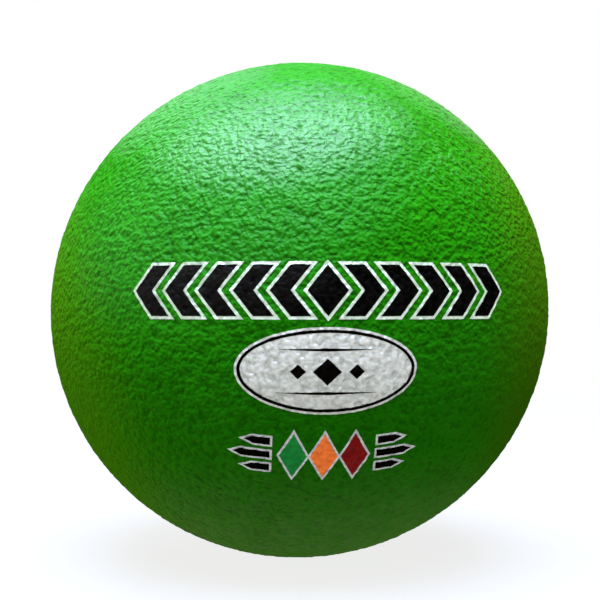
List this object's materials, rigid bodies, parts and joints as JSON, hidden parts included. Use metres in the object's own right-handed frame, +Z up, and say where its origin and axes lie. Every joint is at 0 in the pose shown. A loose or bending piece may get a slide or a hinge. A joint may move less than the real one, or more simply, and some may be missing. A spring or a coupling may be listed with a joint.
{
  "type": "dodgeball",
  "caption": "Round foam ball with a grained elastomer skin and a printed band, badge and emblem, thrown and caught by hand.",
  "frame": {"origin": "the ball's centre", "axes": "+Z up through the top of the ball, -Y out through the middle of the print, +X to the right as the print is faced"},
  "size_m": [0.1778, 0.178, 0.1778],
  "materials": {
    "foam": "matte",
    "skin": "satin",
    "silver_ink": "satin",
    "black_ink": "satin",
    "green_ink": "satin",
    "orange_ink": "satin",
    "red_ink": "satin"
  },
  "bodies": {
    "root": {"foam_core": "foam", "skin": "skin", "headline_keylines": "silver_ink", "headline_marks": "black_ink", "badge_field": "silver_ink", "badge_ring": "black_ink", "badge_ornament": "black_ink", "emblem_keylines": "silver_ink", "emblem_bars": "black_ink", "emblem_lozenge_green": "green_ink", "emblem_lozenge_orange": "orange_ink", "emblem_lozenge_red": "red_ink"}
  },
  "joints": []
}
